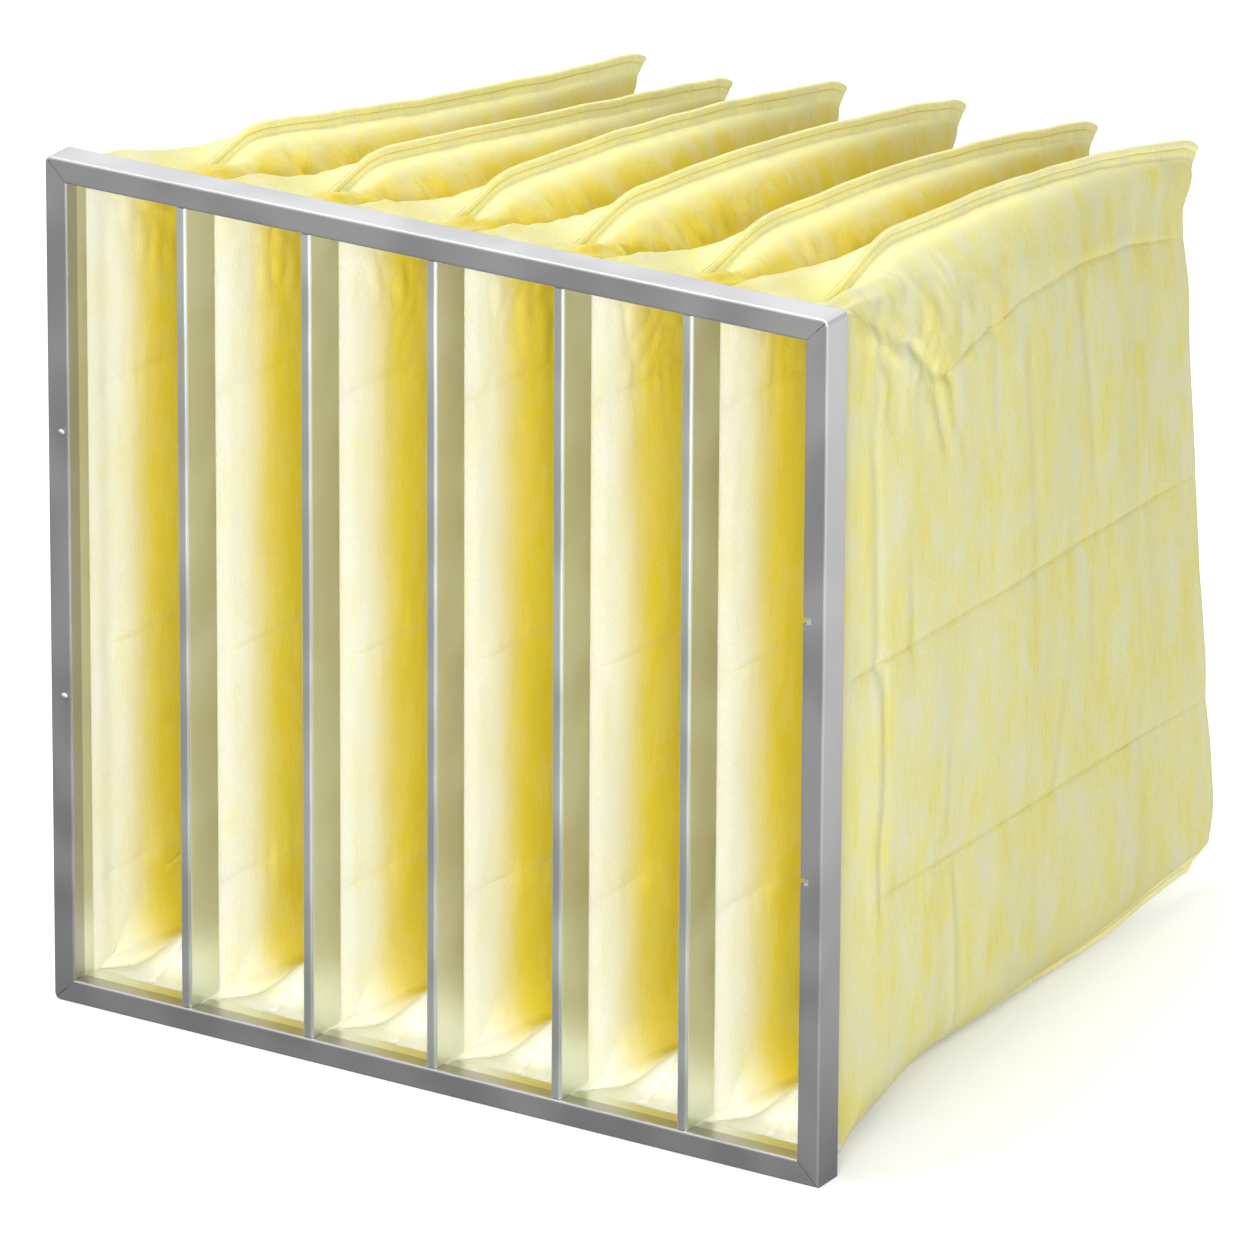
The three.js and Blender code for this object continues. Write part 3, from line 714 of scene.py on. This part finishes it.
def pocket_sheet(pocket):
    columns, rows = len(COLUMNS), len(STATIONS)
    mesh = bmesh.new()
    layers = {name: mesh.verts.layers.float.new(name) for name in ("thickness", *PAINTED_LIGHT_MASKS)}
    grid = bmesh.ops.create_grid(mesh, x_segments=columns - 1, y_segments=rows - 1, size=0.5)["verts"]
    sections = {column: cross_section(pocket, *column) for column in set(COLUMNS)}
    outward = []
    for vertex in grid:
        column = round((vertex.co.x + 0.5) * (columns - 1))
        row = round((vertex.co.y + 0.5) * (rows - 1))
        side, depth = COLUMNS[column]
        part, where = STATIONS[row]
        points, stitched_rows = sections[(side, depth)]
        x, z = points[row]
        near_seam = seam_pull(part, where)
        wave_x, wave_z = seam_wave(pocket, depth, part.startswith("high"))
        place = placed(pocket, side * x + wave_x * near_seam, z + wave_z * near_seam, depth)
        outward.append((vertex, crease(pocket, side, part, where, depth, z, place, stitched_rows)))
        vertex.co = place * MM
        vertex[layers["thickness"]] = thickness_of(pocket, side, part, where, depth, z, stitched_rows) / HEM
        # The masks of painted shade and painted highlight that the media materials read.
        painted_values = painted_light_at(pocket, side, part, where, depth, z, stitched_rows)
        for name, tone in zip(PAINTED_LIGHT_MASKS, painted_values):
            vertex[layers[name]] = tone
    mesh.normal_update()
    test = next(face for face in mesh.faces if abs(face.normal.x) > 0.9)
    if test.normal.x * (test.calc_center_median().x - mouth_of(pocket)[0] * MM) < 0:
        bmesh.ops.reverse_faces(mesh, faces=mesh.faces)
        mesh.normal_update()
    for vertex, amount in outward:
        vertex.co += vertex.normal * amount * MM
    data = bpy.data.meshes.new(f"media_{pocket + 1}")
    mesh.to_mesh(data)
    mesh.free()
    piece = bpy.data.objects.new(f"pocket_sheet_{pocket + 1}", data)
    bpy.context.scene.collection.objects.link(piece)
    data.polygons.foreach_set("use_smooth", [True] * len(data.polygons))
    weights = piece.vertex_groups.new(name="thickness")
    for index, value in enumerate(data.attributes["thickness"].data):
        weights.add([index], value.value, "REPLACE")
    solid = piece.modifiers.new("thickness", "SOLIDIFY")
    solid.thickness = HEM * MM
    solid.offset = -1.0
    solid.vertex_group = "thickness"
    solid.use_rim = True
    solid.material_offset = 1
    data.materials.append(media)
    data.materials.append(media_inside)
    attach(piece, "root")
    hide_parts(f"pocket_{pocket + 1}")
    return piece


pockets = [pocket_sheet(pocket) for pocket in range(6)]

# %% [markdown]
# ## The seam stitches
# A lock stitch has one thread on each face of the lip. Each thread lies along its face for a stitch, then
# dips into the lip where the two threads catch each other.

# %% Seam stitches
STITCH = 5.0
THREAD_RADIUS = 0.35
SEAM_START, SEAM_END = 62, 590


def seam_point(pocket, upper, depth, x):
    lip = LIP_HEIGHT * released_at(depth)
    dip = SEAM_DIP * gable_at(depth)
    away = lip * STITCH_SHARE
    wave_x, wave_z = seam_wave(pocket, depth, upper)
    if upper:
        z = crest_height(pocket, depth) - lip - dip + away
    else:
        z = keel_level(depth) + lip + dip - away
    return placed(pocket, x + wave_x, z + wave_z, depth) * MM


def seam_stitches(pocket, upper):
    name = f"{'top' if upper else 'bottom'}_{pocket + 1}"
    curve = bpy.data.curves.new(f"stitches_{name}", "CURVE")
    curve.dimensions = "3D"
    curve.bevel_depth = THREAD_RADIUS * MM
    curve.bevel_resolution = 0
    curve.use_fill_caps = True
    for side in (-1, 1):
        points = []
        for k in range(int((SEAM_END - SEAM_START) / STITCH)):
            start = SEAM_START + STITCH * k
            face = side * (LIP_HALF * LIP_WIDTHS[3] * released_at(start) + 0.12)
            points.append(seam_point(pocket, upper, start, face * 0.3))
            points.append(seam_point(pocket, upper, start + 0.16 * STITCH, face))
            points.append(seam_point(pocket, upper, start + 0.84 * STITCH, face))
        spline = curve.splines.new("POLY")
        spline.points.add(len(points) - 1)
        for point, place in zip(spline.points, points):
            point.co = (*place, 1)
    piece = bpy.data.objects.new(f"seam_stitches_{name}", curve)
    bpy.context.scene.collection.objects.link(piece)
    curve.materials.append(thread)
    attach(piece, "root")
    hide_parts(f"seam_thread_{name}")
    return piece


stitches = [seam_stitches(pocket, upper) for pocket in range(6) for upper in (True, False)]
print(len(stitches), "seams stitched")

# %% [markdown]
# ## The floor and the light
# A pale floor under a white background. It keeps the filter's shadow and glows a little for the camera
# alone, more the farther off it lies, so it runs into the white without a horizon. Mirror rays see a grey
# floor, dark on the left and bright on the right, which gives the bare steel its light and dark faces.

# %% Floor
def make_floor():
    mesh = bmesh.new()
    bmesh.ops.create_grid(mesh, x_segments=1, y_segments=1, size=14)
    data = bpy.data.meshes.new("floor")
    mesh.to_mesh(data)
    mesh.free()
    floor = bpy.data.objects.new("floor", data)
    bpy.context.scene.collection.objects.link(floor)
    material = bpy.data.materials.new("floor")
    material.use_nodes = True
    tree = material.node_tree
    path = node(tree, "ShaderNodeLightPath")
    shader = tree.nodes["Principled BSDF"]
    shader.inputs["Base Color"].default_value = (0.86, 0.86, 0.86, 1)
    shader.inputs["Roughness"].default_value = 0.9
    shader.inputs["Emission Color"].default_value = (1, 1, 1, 1)
    place = node(tree, "ShaderNodeTexCoord")
    away = node(tree, "ShaderNodeVectorMath", operation="LENGTH")
    tree.links.new(place.outputs["Object"], away.inputs[0])
    glow = remap(tree, away.outputs["Value"], 1.4, 5.0, 0.28, 1.0)
    glow = math_of(tree, "MULTIPLY", path.outputs["Is Camera Ray"], glow)
    tree.links.new(glow, shader.inputs["Emission Strength"])
    split = node(tree, "ShaderNodeSeparateXYZ")
    tree.links.new(place.outputs["Object"], split.inputs[0])
    dim = node(tree, "ShaderNodeEmission")
    near = blend_of(
        tree, remap(tree, split.outputs["Y"], -1.7, -0.4), (0.38, 0.38, 0.38, 1), (0.24, 0.24, 0.24, 1),
    )
    beside = blend_of(
        tree, remap(tree, split.outputs["X"], -1.2, -0.4), (0.10, 0.12, 0.16, 1), (0.58, 0.58, 0.58, 1),
    )
    grey = blend_of(tree, remap(tree, split.outputs["Y"], -0.35, 0.2), near, beside)
    grey = blend_of(tree, remap(tree, split.outputs["X"], 0.5, 1.3), grey, (1.25, 1.25, 1.25, 1))
    tree.links.new(grey, dim.inputs["Color"])
    mix = node(tree, "ShaderNodeMixShader")
    tree.links.new(path.outputs["Is Glossy Ray"], mix.inputs["Fac"])
    tree.links.new(shader.outputs[0], mix.inputs[1])
    tree.links.new(dim.outputs[0], mix.inputs[2])
    tree.links.new(mix.outputs[0], tree.nodes["Material Output"].inputs["Surface"])
    data.materials.append(material)
    print(floor.name, [round(value, 1) for value in floor.dimensions])


make_floor()

# %% [markdown]
# The world is white for the camera and a dim even grey for the light that falls on the media. Only mirror
# rays see it as a studio ceiling, brighter with height.

# %% World
def make_world():
    world = bpy.data.worlds.new("studio")
    bpy.context.scene.world = world
    world.use_nodes = True
    tree = world.node_tree
    back = tree.nodes["Background"]
    place = node(tree, "ShaderNodeTexCoord")
    split = node(tree, "ShaderNodeSeparateXYZ")
    tree.links.new(place.outputs["Generated"], split.inputs[0])
    mirrored = blend_of(
        tree, remap(tree, split.outputs["Z"], -0.15, 0.45), (0.34, 0.34, 0.35, 1), (1.15, 1.16, 1.18, 1),
    )
    path = node(tree, "ShaderNodeLightPath")
    seen = blend_of(tree, path.outputs["Is Glossy Ray"], (0.38, 0.38, 0.38, 1), mirrored)
    seen = blend_of(tree, path.outputs["Is Camera Ray"], seen, (1, 1, 1, 1))
    tree.links.new(seen, back.inputs["Color"])
    back.inputs["Strength"].default_value = 1.0
    print("world", world.name)


make_world()

# %% [markdown]
# Four large soft lights, as for a product picture: the key from the front right, a fill from the left, one
# above for the top seams and one behind for the pockets' backs. The fill and the one behind aren't mirrored,
# because they would turn the header's front white.

# %% Lights
def soft_light(name, place, target, size, power, mirrored=True):
    light = bpy.data.lights.new(name, "AREA")
    light.shape = "SQUARE"
    light.size = size
    light.energy = power
    holder = bpy.data.objects.new(name, light)
    bpy.context.scene.collection.objects.link(holder)
    aim = (Vector(target) - Vector(place)).to_track_quat("-Z", "Y")
    holder.matrix_world = Matrix.Translation(place) @ aim.to_matrix().to_4x4()
    holder.visible_glossy = mirrored
    print("light", name, power, "W")


MIDDLE = (0.0, 0.0, 0.3)
soft_light("key", (2.3, -4.6, 1.7), MIDDLE, 2.2, 215)
soft_light("left", (-2.6, -4.2, 1.5), MIDDLE, 1.8, 90, mirrored=False)
soft_light("over", (-0.8, 0.2, 4.2), MIDDLE, 2.6, 90)
soft_light("behind", (-1.2, 4.4, 2.2), MIDDLE, 2.2, 60, mirrored=False)
bpy.context.scene.view_settings.view_transform = "Standard"
